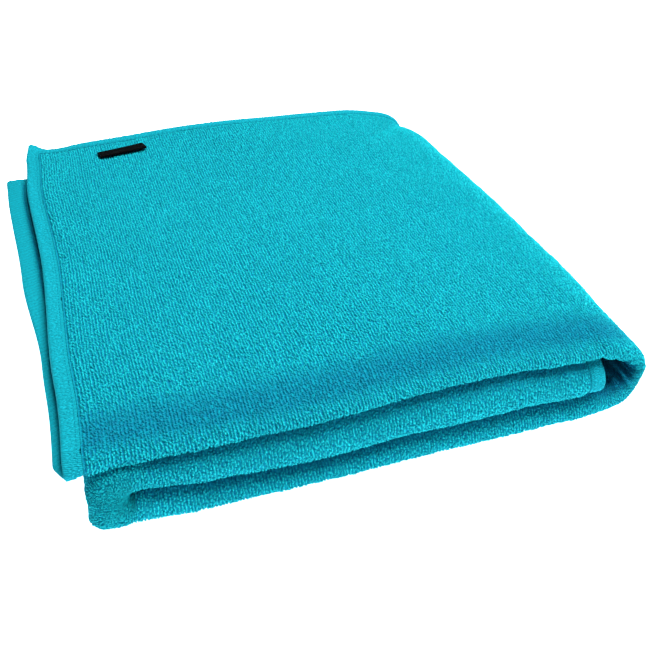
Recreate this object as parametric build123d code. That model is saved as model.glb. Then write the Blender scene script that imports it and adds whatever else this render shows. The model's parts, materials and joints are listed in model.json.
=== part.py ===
"""Folded quick-dry towel: one hemmed terry sheet with a small sewn-on label.

The sheet is folded in half along its long middle line, which leaves the fold at the
front (-Y) and the two long hemmed edges at the back (+Y).  That double strip is then
folded in three like a letter.  The bottom panel lies on the table, the left fold leads
from it to the middle panel, whose hemmed end is tucked inside the right fold, and the
right fold leads from the bottom panel to the top panel, whose hemmed end is at the left.

Each panel has two layers.  The outer layer (the underside of the bottom panel and the
upper side of the other two) reaches the full depth; the inner layer stops short of it
at the back.  The top panel opens like a book cover about the right fold.

Frame: millimetres, +X to the right, +Y to the back, +Z up, origin at the middle of the
bounding box's bottom face.
"""
from build123d import *
import os

# Folded size
folded_length = 320.0   # left edge of the top layer to the outermost point of the right fold
folded_depth = 340.0    # front folds to the back edge of the outer layer
bottom_height = 19.0    # two layers
middle_height = 25.7    # two loosely rolled layers
top_height = 12.0       # two layers
panel_gap = 0.3         # air between the middle panel and the top panel that opens
layer_gap = 0.6         # air between the two layers of one panel

# Where the layers end
inner_setback = 35.0    # inner layer's back edge, in front of the outer layer's back edge
inner_reach_front = 5.0  # how far the top panel's inner layer shows at the left, at the front
inner_reach_back = 16.0  # and at the back
bundle_inset = 7.0      # left fold, to the right of the top layer's left edge
tongue_inset = 28.0     # middle panel's hemmed end, to the left of the right fold's outside

# Folds
left_fold_width = 19.0
right_fold_width = 30.0
right_fold_wall = 13.0
right_fold_radius = 20.0
hinge_clearance = 0.15  # each side of the parting plane, and outside the fold

# Hems and sewing thread
hem_width = 10.0
thread_height = 0.4
thread_width = 0.8

# Label
label_width = 36.0
label_length = 11.0
label_thickness = 0.8
label_clearance = 0.3
label_from_left = 70.0  # middle of the label's sewn edge, from the top layer's left edge
label_from_back = 26.0  # the same point, from the outer layer's back edge
label_askew = 8.0  # degrees that the label is sewn on turned from the towel's edge
label_stitch_width = 1.2

# Derived places
total_length = folded_length + inner_reach_back
x_right = total_length / 2
x_left = x_right - folded_length
x_bundle = x_left + bundle_inset
x_left_fold = x_bundle + left_fold_width
x_right_fold = x_right - right_fold_width
x_tongue = x_right - tongue_inset
y_front = -folded_depth / 2
y_outer = folded_depth / 2
y_inner = y_outer - inner_setback
y_outer_seam = y_outer - hem_width
y_inner_seam = y_inner - hem_width
z_bottom = (0.0, bottom_height)
z_middle = (bottom_height, bottom_height + middle_height)
z_top = (z_middle[1] + panel_gap, z_middle[1] + panel_gap + top_height)
x_hinge = x_right + hinge_clearance
x_end_seam = x_left + hem_width
y_label = y_outer - label_from_back
x_label = x_left + label_from_left
z_label = z_top[1] + label_clearance
z_hinge = (z_label + label_thickness) / 2  # so the opened top panel and its label just clear the table


def block(x, y, z):
    """Box between two x, two y and two z values."""
    size = (x[1] - x[0], y[1] - y[0], z[1] - z[0])
    return Pos(x[0], y[0], z[0]) * Box(*size, align=(Align.MIN, Align.MIN, Align.MIN))


def rounded_front(x, z):
    """Bar along X whose front is a half round as high as the bar, back to y_outer."""
    radius = (z[1] - z[0]) / 2
    straight = block(x, (y_front + radius, y_outer), z)
    nose = Pos((x[0] + x[1]) / 2, y_front + radius, z[0] + radius) * Rot(0, 90, 0) * Cylinder(radius, x[1] - x[0])
    return straight + nose


def layers(z, outer_on_top):
    """Height range of a panel's outer layer, of its inner layer and of the air between."""
    middle = (z[0] + z[1]) / 2
    lower = (z[0], middle - layer_gap / 2)
    upper = (middle + layer_gap / 2, z[1])
    air = (lower[1], upper[0])
    return (upper, lower, air) if outer_on_top else (lower, upper, air)


def hairpin(x, z, outer_on_top):
    """Panel: two layers joined by a rounded fold at the front, without their side hems."""
    outer, inner, air = layers(z, outer_on_top)
    y_fold = y_front + (z[1] - z[0]) / 2
    solid = rounded_front(x, z)
    solid -= block(x, (y_fold, y_outer), air)
    solid -= block(x, (y_outer_seam, y_outer), outer)
    solid -= block(x, (y_inner_seam, y_outer), inner)
    return solid


def side_hems(x, z, outer_on_top):
    """The hems along the back edges of a panel's outer and inner layer."""
    outer, inner, air = layers(z, outer_on_top)
    return block(x, (y_outer_seam, y_outer), outer), block(x, (y_inner_seam, y_inner), inner)


def skewed_strip(from_front, from_back, to_front, to_back, y, z):
    """Upright block between two slanting lines, given by their x at the front and back."""
    outline = Polyline((from_front, y[0]), (to_front, y[0]), (to_back, y[1]), (from_back, y[1]), close=True)
    return Pos(0, 0, z[0]) * extrude(make_face(outline), z[1] - z[0])


def fold_outline(x_end, x_out, z, radius, y):
    """Block from x_end to x_out with its two long edges at x_out rounded."""
    solid = block((min(x_end, x_out), max(x_end, x_out)), y, z)
    edges = [e for e in solid.edges().filter_by(Axis.Y) if abs(e.center().X - x_out) < radius / 2]
    return fillet(edges, radius)


def round_front_edges(solid, radius):
    """Rounds what lies at the front plane."""
    return fillet(solid.faces().sort_by(Axis.Y)[0].edges(), radius)


pieces = {}

# Panels, each a two-layer hairpin
panels = {
    "bottom": ((x_left_fold, x_right_fold), z_bottom, False),
    "middle": ((x_left_fold, x_tongue - hem_width), z_middle, True),
    "top": ((x_end_seam, x_right_fold), z_top, True),
}
for name, (x, z, outer_on_top) in panels.items():
    pieces[f"{name}_panel"] = hairpin(x, z, outer_on_top)
    outer_hem, inner_hem = side_hems(x, z, outer_on_top)
    pieces[f"{name}_side_hem_outer"] = outer_hem
    pieces[f"{name}_side_hem_inner"] = inner_hem

# The top panel's inner layer lies askew, so it shows past the outer layer at the left
top_outer, top_inner, top_air = layers(z_top, True)
y_skew = (y_front + top_height / 2, y_inner)
edge_front = x_left - inner_reach_front
edge_back = x_left - inner_reach_back
y_skew_panel = (y_skew[0], y_inner_seam)
edge_back_panel = edge_back + (edge_front - edge_back) * hem_width / (y_skew[1] - y_skew[0])
pieces["top_panel"] += skewed_strip(
    edge_front + hem_width, edge_back_panel + hem_width, x_end_seam, x_end_seam, y_skew_panel, top_inner
)
pieces["top_side_hem_inner"] += skewed_strip(
    edge_back_panel + hem_width, edge_back + hem_width, x_end_seam, x_end_seam, (y_inner_seam, y_inner), top_inner
)

# Hems across the strip's two ends
top_end = rounded_front((x_left, x_end_seam), z_top)
pieces["top_end_hem_outer"] = top_end & block((x_left, x_end_seam), (y_front, y_outer), top_outer)
pieces["top_end_hem_inner"] = skewed_strip(
    edge_front, edge_back, edge_front + hem_width, edge_back + hem_width, y_skew, top_inner
)
tongue = (x_tongue - hem_width, x_tongue)
tongue_end = rounded_front(tongue, z_middle)
tongue_outer, tongue_inner, tongue_air = layers(z_middle, True)
pieces["middle_end_hem_outer"] = tongue_end & block(tongue, (y_front, y_outer), tongue_outer)
pieces["middle_end_hem_inner"] = tongue_end & block(tongue, (y_front, y_inner), tongue_inner)

# Folds between the panels
pieces["left_fold"] = round_front_edges(
    fold_outline(x_left_fold, x_bundle, (0, z_middle[1]), left_fold_width - 1, (y_front, y_outer)), 3
)
fold = fold_outline(x_right_fold, x_right, (0, z_top[1]), right_fold_radius, (y_front, y_outer))
hollow = fold_outline(
    x_right_fold,
    x_right - right_fold_wall,
    (bottom_height, z_top[0]),
    right_fold_radius - right_fold_wall,
    (y_front - 1, y_outer + 1),
)
fold -= hollow
fold_reach = ((x_right_fold, x_right), (y_front, y_outer))
pieces["right_fold_lower"] = fold & block(*fold_reach, (0, z_hinge - hinge_clearance))
pieces["right_fold_upper"] = fold & block(*fold_reach, (z_hinge + hinge_clearance, z_top[1]))

# Sewing thread: a line of stitches beside each hem, on its exposed face or between layers
threads = {
    "bottom_side_seam_outer": (panels["bottom"][0], y_outer_seam, layers(z_bottom, False)[0][1]),
    "bottom_side_seam_inner": (panels["bottom"][0], y_inner_seam, layers(z_bottom, False)[2][0]),
    "middle_side_seam_outer": (panels["middle"][0], y_outer_seam, z_middle[1]),
    "middle_side_seam_inner": (panels["middle"][0], y_inner_seam, tongue_air[0]),
    "top_side_seam_outer": (panels["top"][0], y_outer_seam, z_top[1]),
    "top_side_seam_inner": (panels["top"][0], y_inner_seam, top_air[0]),
}
for name, (x, y, z) in threads.items():
    pieces[name] = block(x, (y - thread_width, y), (z, z + thread_height))

end_threads = {
    "top_end_seam_outer": (x_end_seam, (y_front + top_height / 2, y_outer_seam - thread_width), z_top[1]),
    "middle_end_seam": (x_tongue - hem_width, (y_front + middle_height / 2, y_inner_seam - thread_width), tongue_air[0]),
}
for name, (x, y, z) in end_threads.items():
    pieces[name] = block((x, x + thread_width), y, (z, z + thread_height))
y_seam = (y_skew[0], y_inner_seam - thread_width)
seam_back = edge_front + (edge_back - edge_front) * (y_seam[1] - y_skew[0]) / (y_skew[1] - y_skew[0])
pieces["top_end_seam_inner"] = skewed_strip(
    edge_front + hem_width,
    seam_back + hem_width,
    edge_front + hem_width + thread_width,
    seam_back + hem_width + thread_width,
    y_seam,
    (top_air[0], top_air[0] + thread_height),
)

# Label and the thread that holds its back edge, drawn about the middle of that edge
sewn_edge = Pos(x_label, y_label, 0) * Rot(0, 0, label_askew)
label_x = (-label_width / 2, label_width / 2)
label = block(label_x, (-label_length, 0), (z_label, z_label + label_thickness))
pieces["label"] = sewn_edge * fillet(label.edges().filter_by(Axis.Z), label_thickness)
stitching_y = (label_clearance, label_clearance + label_stitch_width)
pieces["label_stitching"] = sewn_edge * block(label_x, stitching_y, (z_top[1], z_label))

os.makedirs("parts", exist_ok=True)
for name, shape in pieces.items():
    export_step(shape, f"parts/{name}.step")

print(f"right fold hinge at x {x_hinge:.2f}, z {z_hinge:.2f}")
print(f"label hinge at x {x_label:.2f}, y {y_label:.2f}, z {z_label + label_thickness:.2f}, turned {label_askew}")
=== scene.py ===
"""Looks of the folded quick-dry towel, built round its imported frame.

The towel is one terry sheet folded lengthwise into a double strip, which is then folded in three.
Every piece is placed by one map, Strip.place, from cloth coordinates to space: s runs along the
strip from the tucked-in end of the middle panel to the free end of the top panel, v runs across
the cloth, zero on the front fold, positive on the outer layer, and depth goes into the cloth.
"""

import json
import math

import bpy
import numpy as np
from bpy.props import FloatProperty, FloatVectorProperty, PointerProperty
from mathutils import Euler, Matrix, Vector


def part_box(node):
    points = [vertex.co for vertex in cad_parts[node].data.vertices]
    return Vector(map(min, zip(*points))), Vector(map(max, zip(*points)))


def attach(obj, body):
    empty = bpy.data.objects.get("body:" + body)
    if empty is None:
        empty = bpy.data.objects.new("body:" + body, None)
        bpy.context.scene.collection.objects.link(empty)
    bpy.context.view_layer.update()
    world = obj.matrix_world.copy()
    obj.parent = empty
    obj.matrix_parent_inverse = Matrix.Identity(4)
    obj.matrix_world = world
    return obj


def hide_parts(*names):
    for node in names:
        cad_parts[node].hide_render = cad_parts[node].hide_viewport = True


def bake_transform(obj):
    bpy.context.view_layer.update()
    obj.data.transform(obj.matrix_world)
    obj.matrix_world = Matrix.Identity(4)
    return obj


bl_info = {
    "name": "Folded terry towel",
    "version": (1, 0, 0),
    "blender": (4, 5, 0),
    "location": "View3D > Sidebar > Towel",
    "description": "Builds the cloth, hems, sewing and label of a folded towel round its frame",
    "category": "Object",
}

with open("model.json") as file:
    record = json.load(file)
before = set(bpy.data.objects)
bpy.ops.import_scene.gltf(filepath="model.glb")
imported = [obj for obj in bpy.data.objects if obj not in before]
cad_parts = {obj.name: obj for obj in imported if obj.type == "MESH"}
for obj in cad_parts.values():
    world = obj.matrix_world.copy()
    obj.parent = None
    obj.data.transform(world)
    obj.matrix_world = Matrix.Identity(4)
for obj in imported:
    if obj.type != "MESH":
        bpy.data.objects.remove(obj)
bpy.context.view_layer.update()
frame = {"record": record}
MM = 0.001


# ---------------------------------------------------------------- places taken from the frame

def low_high(node):
    """A node's lowest and highest corners as two arrays."""
    low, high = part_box(node)
    return np.array(low), np.array(high)


BOTTOM = low_high("bottom_panel")
MIDDLE = low_high("middle_panel")
TOP = low_high("top_panel")
TONGUE = low_high("middle_end_hem_outer")
TOP_END = low_high("top_end_hem_outer")
INNER_END = low_high("top_end_hem_inner")
LEFT_FOLD = low_high("left_fold")
RIGHT_FOLD = low_high("right_fold_lower")
INNER_HEM = low_high("bottom_side_hem_inner")

X_TONGUE = TONGUE[1][0]
X_LEFT_OUT = LEFT_FOLD[0][0]
X_RIGHT = BOTTOM[1][0]
X_RIGHT_OUT = RIGHT_FOLD[1][0]
X_END = TOP_END[0][0]
Y_FRONT = BOTTOM[0][1]
Y_BACK = TOP_END[1][1]
Y_INNER = INNER_HEM[1][1]
Z_BOTTOM = BOTTOM[1][2]
Z_MIDDLE = MIDDLE[1][2]
Z_TOP = (TOP[0][2], TOP[1][2])
X_PINCH = X_LEFT_OUT + Z_MIDDLE / 2
JOINTS = {joint["child"]: joint for joint in frame["record"]["behaviour"]["joints"]}
HINGE = JOINTS["flap"]["pos_m"]
SEWN_EDGE = np.array(JOINTS["label"]["pos_m"])
SEWN_ALONG = -np.array(JOINTS["label"]["axis"])


# ---------------------------------------------------------------- small shape helpers

def ease(low, high, value):
    """Smoothstep: 0 below low, 1 above high, with level ends between."""
    t = np.clip((value - low) / (high - low), 0, 1)
    return t * t * (3 - 2 * t)


def hump(centre, width, value):
    """Bell curve of height 1 about centre."""
    return np.exp(-(((value - centre) / width) ** 2))


def superellipse(angle, power):
    """Point at an angle of a unit superellipse: |x|^power + |z|^power = 1."""
    c, s = np.cos(angle), np.sin(angle)
    size = (np.abs(c) ** power + np.abs(s) ** power) ** (-1 / power)
    return np.stack([c * size, s * size], -1)


def ripples(x, y, wavelength, seed, waves=9):
    """Sum of plane waves of about one wavelength in random directions, about -1 to 1."""
    rng = np.random.default_rng(seed)
    heading = rng.uniform(0, math.tau, waves)
    length = wavelength * rng.uniform(0.7, 1.5, waves)
    phase = rng.uniform(0, math.tau, waves)
    total = 0
    for h, l, p in zip(heading, length, phase):
        total = total + np.sin(math.tau * (x * math.cos(h) + y * math.sin(h)) / l + p)
    return total / math.sqrt(waves * 2)


# ---------------------------------------------------------------- the folded strip

class Roll:
    """Quarter of a superellipse, from its nose to its flank, with points evenly spaced by length.

    Its points are tabled for a row of aspects, reach over half the thickness, and read between them.
    """

    FRACTIONS = 97

    def __init__(self, power):
        self.aspects = np.linspace(0.2, 9.0, 89)
        unit = superellipse(np.linspace(0, math.pi / 2, 600), power)
        share = np.linspace(0, 1, self.FRACTIONS)
        totals, table = [], []
        for aspect in self.aspects:
            run = np.concatenate([[0], np.cumsum(np.hypot(*np.diff(unit * [aspect, 1], axis=0).T))])
            totals.append(run[-1])
            table.append(np.stack([np.interp(share, run / run[-1], column) for column in unit.T], -1))
        self.totals, self.table = np.array(totals), np.array(table)

    def length(self, reach, half):
        return half * np.interp(reach / half, self.aspects, self.totals)

    def point(self, fraction, aspect):
        """Unit point at a fraction of the length, between the four nearest entries of the table."""
        row = np.interp(aspect, self.aspects, np.arange(len(self.aspects)))
        column = np.clip(fraction, 0, 1) * (self.FRACTIONS - 1)
        r = np.minimum(row.astype(int), len(self.aspects) - 2)
        c = np.minimum(column.astype(int), self.FRACTIONS - 2)
        down, on = (row - r)[..., None], (column - c)[..., None]
        near = self.table[r, c] * (1 - on) + self.table[r, c + 1] * on
        return near * (1 - down) + (self.table[r + 1, c] * (1 - on) + self.table[r + 1, c + 1] * on) * down


class Strip:
    """The folded double strip.

    Two rails in the XZ plane run along it: the outer rail is the outside of the outer layer and
    the inner rail the outside of the inner layer.  A cross-section joins them by a front roll,
    half a superellipse between the rails, and runs straight back from it on both layers.
    """

    STEP = 1.0 * MM
    FOLD_SAMPLES = 160
    SHOULDER = (0.095, 0.16)

    def __init__(self, sizes):
        self.sizes = sizes
        self.round_roll, self.blunt_roll = Roll(2.25), Roll(4.5)
        outer, inner, roll = [], [], []

        def straight(x0, x1, z_out, z_in, reach):
            x = np.linspace(x0, x1, max(int(abs(x1 - x0) / self.STEP), 2))
            outer.append(np.stack([x, np.full_like(x, z_out)], -1))
            inner.append(np.stack([x, np.full_like(x, z_in)], -1))
            roll.append(np.full_like(x, reach))

        def bend(start, stop, centre_out, axes_out, powers_out, centre_in, axes_in, powers_in, reach):
            """A fold; its powers are those of the superellipse's upper and lower halves."""
            angle = np.radians(np.linspace(start, stop, self.FOLD_SAMPLES))
            upper = np.sin(angle) > 0
            power_out, power_in = np.where(upper, *powers_out), np.where(upper, *powers_in)
            outer.append(np.array(centre_out) + np.array(axes_out) * superellipse(angle, power_out))
            inner.append(np.array(centre_in) + np.array(axes_in) * superellipse(angle, power_in))
            roll.append(np.full_like(angle, reach))

        straight(X_TONGUE, X_PINCH, Z_MIDDLE, Z_BOTTOM, sizes.roll_middle)
        left = X_PINCH - X_LEFT_OUT
        bend(90, 270, (X_PINCH, Z_MIDDLE / 2), (left, Z_MIDDLE / 2), (3.0, 5.0),
             (X_PINCH, Z_BOTTOM), (0.8 * MM, 0.01 * MM), (2.0, 2.0), sizes.roll_bottom)
        left_end = sum(len(r) for r in roll)
        straight(X_PINCH, X_RIGHT, 0, Z_BOTTOM, sizes.roll_bottom)
        self.bottom_end = sum(len(r) for r in roll)
        wall = sizes.right_wall
        span = X_RIGHT_OUT - X_RIGHT
        mid = (Z_BOTTOM + Z_TOP[0]) / 2
        bend(-90, 90, (X_RIGHT, Z_TOP[1] / 2), (span, Z_TOP[1] / 2), (2.2, 3.0),
             (X_RIGHT, mid), (span - wall, (Z_TOP[0] - Z_BOTTOM) / 2), (2.0, 2.2), sizes.roll_right)
        self.fold_end = sum(len(r) for r in roll)
        x_top = np.linspace(X_RIGHT, X_END, int((X_RIGHT - X_END) / self.STEP))
        top_reach = sizes.roll_top - 15 * MM * ease(X_END + 60 * MM, X_END, x_top)
        straight(X_RIGHT, X_END, Z_TOP[1], Z_TOP[0], top_reach)
        outer, inner, roll = np.concatenate(outer), np.concatenate(inner), np.concatenate(roll)
        middle = (outer + inner) / 2
        gap = np.maximum(np.linalg.norm(np.diff(middle, axis=0), axis=1), 1e-7)
        self.along = np.concatenate([[0], np.cumsum(gap)])
        self.length = float(self.along[-1])
        self.rails = np.concatenate([outer, inner], 1)
        self.outside = np.concatenate([[0], np.cumsum(np.linalg.norm(np.diff(outer, axis=0), axis=1))])
        self.outside += np.arange(len(self.outside)) * 1e-9
        spread = 9
        kernel = np.hanning(2 * spread + 3)[1:-1]
        kernel /= kernel.sum()
        self.roll_reach = np.convolve(np.pad(roll, spread, mode="edge"), kernel, mode="valid")
        self.s_left_fold = X_TONGUE - X_PINCH, float(self.along[left_end])
        self.s_bottom_end = float(self.along[self.bottom_end])
        self.s_fold_end = float(self.along[self.fold_end])

    def girth(self, s):
        """Length of the outer rail up to s, along which the ribs of the cloth are evenly spaced."""
        return np.interp(s, self.along, self.outside)

    def at_girth(self, girth):
        return np.interp(girth, self.outside, self.along)

    def rail(self, s):
        """Outer and inner rail points, and the front roll's reach, at distances s."""
        outer_x, outer_z, inner_x, inner_z = (np.interp(s, self.along, column) for column in self.rails.T)
        return outer_x, outer_z, inner_x, inner_z, np.interp(s, self.along, self.roll_reach)

    def half_roll(self, s):
        """Half the length of the cloth in the front roll."""
        outer_x, outer_z, inner_x, inner_z, reach = self.rail(s)
        half = np.hypot(outer_x - inner_x, outer_z - inner_z) / 2
        return self.round_roll.length(reach, half)

    def edge(self, s, outer):
        """v of the cloth's side edge: the outer layer's is positive, the inner layer's negative."""
        reach = self.rail(s)[4]
        back = Y_BACK if outer else Y_INNER
        run = self.half_roll(s) + back - Y_FRONT - reach
        return run if outer else -run

    def place(self, s, v, depth):
        """Cloth coordinates to space, as an array with a last axis of three."""
        s, v, depth = np.broadcast_arrays(np.asarray(s, float), v, depth)
        outer_x, outer_z, inner_x, inner_z, reach = self.rail(s)
        wall = np.hypot(outer_x - inner_x, outer_z - inner_z)
        half = self.half_roll(s)
        fraction, aspect = np.abs(v) / half, 2 * reach / wall
        blunt = ease(self.s_fold_end - 10 * MM, self.s_fold_end + 25 * MM, s) * (v < 0)
        arc = self.round_roll.point(fraction, aspect)
        arc = arc + (self.blunt_roll.point(fraction, aspect) - arc) * blunt[..., None]
        arc = arc * np.stack([np.ones_like(v), np.where(v < 0, -1.0, 1.0)], -1)
        depth = depth + self.pleats(s, v, half)
        across = 0.5 + (0.5 - np.minimum(depth / wall, 0.49)) * arc[..., 1]
        y = Y_FRONT + reach - (reach - np.minimum(depth, reach * 0.9)) * arc[..., 0]
        y = y + np.maximum(np.abs(v) - half, 0)
        x = inner_x + across * (outer_x - inner_x)
        z = inner_z + across * (outer_z - inner_z)
        x = x - self.inner_reach(s, v, half, y)
        return self.settle(s, v, x, y, z)

    def parted(self, s, v):
        """0 to 1: painted shade on the pile, behind the front fold where the top curves down away from the
        light, and in the grooves where the rolls touch.
        """
        half = self.half_roll(s)
        middle = ease(self.s_left_fold[0], self.s_left_fold[0] - 18 * MM, s)
        top = ease(self.s_fold_end - 40 * MM, self.s_fold_end, s)
        bottom = ease(self.s_left_fold[1], self.s_left_fold[1] + 18 * MM, s) * (1 - top)
        behind_front = ease(4 * MM, 15 * MM, v) * ease(42 * MM, 19 * MM, v)
        touching = middle * ease(0.1, 0.9, v / half) + bottom * ease(-0.1, -0.9, v / half)
        return np.clip(0.75 * top * behind_front + 1.3 * touching, 0, 1)

    def inner_reach(self, s, v, half, y):
        """The inner layer lies askew: it reaches further left, and more so towards the back."""
        along = np.clip((s - self.s_fold_end) / (self.length - self.s_fold_end), 0, 1) ** 1.5
        share = ease(0.2, 1.0, -v / half)
        most = X_END - INNER_END[0][0]
        askew = 5.0 * MM + 7.5 * MM * ease(-0.085, 0.0, y) + (most - 14.8 * MM) * ease(0.0, 0.13, y)
        return along * share * askew

    def pleats(self, s, v, half):
        """Puckers inside the right fold, where the front roll has to turn the corner."""
        inside = hump((self.s_bottom_end + self.s_fold_end) / 2, 26 * MM, s)
        near_front = ease(2.6, 1.0, np.abs(v) / half) * ease(0.2, -0.6, v / half)
        wave = np.cos(math.tau * s / (9.0 * MM) + 1.3 * np.sin(s / (12 * MM)))
        return self.sizes.pleat_depth * inside * near_front * (0.6 * wave - 0.5)

    def settle(self, s, v, x, y, z):
        """How the folded cloth sags, bulges and leans: smooth moves of space, so layers stay apart."""
        height = np.clip(z / Z_TOP[1], 0, 1.2)
        front = ease(Y_FRONT + 60 * MM, Y_FRONT + 5 * MM, y)
        rise = front * MM * self.wander(x, z)
        y = y + self.draw_back(s, x, z) * MM * front
        x = x - 2.0 * MM * ease(-0.125, -0.15, x) * ease(16 * MM, 6 * MM, z) * front
        rise = rise + height ** 2 * MM * self.top_swell(x, y)
        drawn_in = 3.4 * hump(-0.125, 0.03, y) + 2.6 * ease(-0.13, 0.0, y) + 3.4 * ease(0.0, 0.12, y)
        x = x - ease(*self.SHOULDER, x) * height * MM * drawn_in
        x, y = self.round_corner(x, y, height)
        # the left edge bows inwards, and more at the back
        left = ease(-0.06, -0.15, x) * height
        upper = ease(Z_TOP[0], Z_TOP[0] + 6 * MM, z)
        bow = 3.5 * hump(0.0, 0.07, y) + 1.2 * hump(-0.125, 0.025, y) - 1.0 * hump(Y_FRONT, 0.016, y)
        x = x + left * MM * (bow + 2.5 * upper * ease(0.09, 0.15, y))
        x, y, rise = self.corner_ear(s, v, x, y, rise)
        return np.stack([x, y, z + rise], -1)

    def wander(self, x, z):
        """Rise of the two lines between the rolls, in millimetres, as they wander along the front."""
        low = 4.0 * hump(-0.112, 0.022, x) - 2.2 * hump(-0.03, 0.05, x) - 1.5 * hump(0.12, 0.03, x)
        high = 1.0 * hump(-0.02, 0.05, x) + 3.2 * hump(0.058, 0.045, x)
        return hump(Z_BOTTOM, 13 * MM, z) * low + hump(Z_MIDDLE, 12 * MM, z) * high

    def draw_back(self, s, x, z):
        """How far the front draws back, in millimetres.

        Each roll hangs forward of the one above it, and its own upper part draws back.
        """
        low_share = np.clip(z / Z_BOTTOM, 0, 1)
        mid_share = np.clip((z - Z_BOTTOM) / (Z_MIDDLE - Z_BOTTOM), 0, 1)
        in_middle = ease(self.s_left_fold[0], self.s_left_fold[0] - 18 * MM, s)
        past_left = ease(self.s_left_fold[1], self.s_left_fold[1] + 18 * MM, s)
        below = ease(self.s_bottom_end + 14 * MM, self.s_bottom_end - 10 * MM, s)
        hang = in_middle * (8.5 * mid_share ** 2 - 3.7) + past_left * below * (7.5 * low_share ** 2 - 3.9)
        hang = hang - 2.0 * (1 - in_middle) * (1 - past_left)
        lip = ease(Z_MIDDLE - 2 * MM, Z_MIDDLE + 4 * MM, z) * (1.8 - 1.8 * hump(-0.01, 0.03, x))
        set_back = (2.4 + lip) * ease(-0.17, -0.125, x) * (1 - 0.8 * ease(X_RIGHT - 8 * MM, X_RIGHT_OUT, x))
        bulge = 1.3 * ripples(x, z * 2, 0.085, 5) * ease(0, 8 * MM, z)
        corner_back = 0.5 * ease(X_RIGHT + 8 * MM, X_RIGHT_OUT, x) * ease(32 * MM, 12 * MM, z)
        return hang + set_back + bulge + corner_back

    def top_swell(self, x, y):
        """Height of the top over a plane, in millimetres: low at the front and at the far right."""
        wide = ripples(x, y, 0.16, 11) * 1.0 + ripples(x, y, 0.07, 12) * 0.35
        dip = 8.0 * np.clip((Y_FRONT + 62 * MM - y) / (62 * MM), 0, 1.1) ** 1.6
        dip = dip + 1.8 * ease(Y_BACK - 60 * MM, Y_BACK, y)
        dip = dip + ease(0.06, Y_BACK, y) * (1.2 * ease(-0.04, -0.12, x) - 3.2 * hump(-0.01, 0.06, x))
        slump = ease(*self.SHOULDER, x) * (3.5 * ease(-0.15, 0.02, y) + 3.0 * ease(0.0, 0.12, y))
        return wide - dip - slump

    def round_corner(self, x, y, height):
        """Draws the far right corner in: the square is scaled towards a superellipse inside it."""
        reach, power = 58 * MM, 2.7
        across = np.clip((x - (X_RIGHT_OUT - reach)) / reach, 0, None)
        back = np.clip((y - (Y_BACK - reach)) / reach, 0, None)
        size = (across ** power + back ** power) ** (1 / power)
        scale = np.maximum(across, back) / np.maximum(size, 1e-6)
        share = 0.6 + 0.4 * ease(-0.2, 0.7, height)
        scale = np.where((across > 0) & (back > 0), 1 + (scale - 1) * share, 1)
        x = np.where(across > 0, X_RIGHT_OUT - reach + across * scale * reach, x)
        y = np.where(back > 0, Y_BACK - reach + back * scale * reach, y)
        return x, y

    def corner_ear(self, s, v, x, y, rise):
        """The free corner of the top panel, where two hems cross, curls up."""
        ear = ease(self.length - 17 * MM, self.length, s) * ease(-16 * MM, -1 * MM, v - self.edge(s, True))
        beside = hump(self.length - 24 * MM, 12 * MM, s) * ease(-20 * MM, 0, v - self.edge(s, True))
        return x + 3.4 * MM * ear, y - 1.0 * MM * ear, rise + 5.0 * MM * ear - 1.4 * MM * beside

    def normal(self, s, v):
        """Unit vector out of the cloth's face."""
        out = self.place(s, v, 0.0) - self.place(s, v, 0.8 * MM)
        return out / np.maximum(np.linalg.norm(out, axis=-1, keepdims=True), 1e-9)


# ---------------------------------------------------------------- meshes

def facing_out(points, faces):
    """The quads, turned over if the volume that they close comes out negative."""
    a, b, c, d = (points[faces[:, k]] for k in range(4))
    volume = np.einsum("ij,ij->i", a, np.cross(b, c) + np.cross(c, d)).sum()
    return faces[:, ::-1] if volume < 0 else faces


def grid_faces(rows, columns, wrap=False):
    """Quads of a grid of rows by columns of points; wrap joins the last column to the first."""
    r = np.arange(rows - 1)[:, None]
    c = np.arange(columns if wrap else columns - 1)[None, :]
    n = (c + 1) % columns
    below = r + 1
    corners = [r * columns + c, r * columns + n, below * columns + n, below * columns + c]
    return np.stack(corners, -1).reshape(-1, 4)


def new_piece(name, points, faces, material, uv=None, bake_map=None, extra=None):
    """Mesh object from points and quads, with cloth coordinates as a UV map and named attributes."""
    mesh = bpy.data.meshes.new(name)
    points = np.ascontiguousarray(points.reshape(-1, 3), dtype=np.float32)
    faces = facing_out(points, faces)
    mesh.vertices.add(len(points))
    mesh.vertices.foreach_set("co", points.ravel())
    mesh.loops.add(faces.size)
    mesh.loops.foreach_set("vertex_index", faces.ravel().astype(np.int32))
    mesh.polygons.add(len(faces))
    size = faces.shape[1]
    mesh.polygons.foreach_set("loop_start", np.arange(0, faces.size, size, dtype=np.int32))
    mesh.update(calc_edges=True)
    if uv is not None:
        layer = mesh.uv_layers.new(name="cloth")
        layer.data.foreach_set("uv", uv.reshape(-1, 2)[faces.ravel()].astype(np.float32).ravel())
    if bake_map is not None:
        layer = mesh.uv_layers.new(name="OFBake")
        layer.data.foreach_set("uv", bake_map[faces.ravel()].astype(np.float32).ravel())
    for key, values in (extra or {}).items():
        attribute = mesh.attributes.new(key, "FLOAT", "POINT")
        attribute.data.foreach_set("value", np.ascontiguousarray(values, dtype=np.float32).ravel())
    mesh.polygons.foreach_set("use_smooth", np.ones(len(faces), bool))
    mesh.materials.append(material)
    mesh.validate()
    piece = bpy.data.objects.new(name, mesh)
    bpy.context.scene.collection.objects.link(piece)
    return piece


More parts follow.
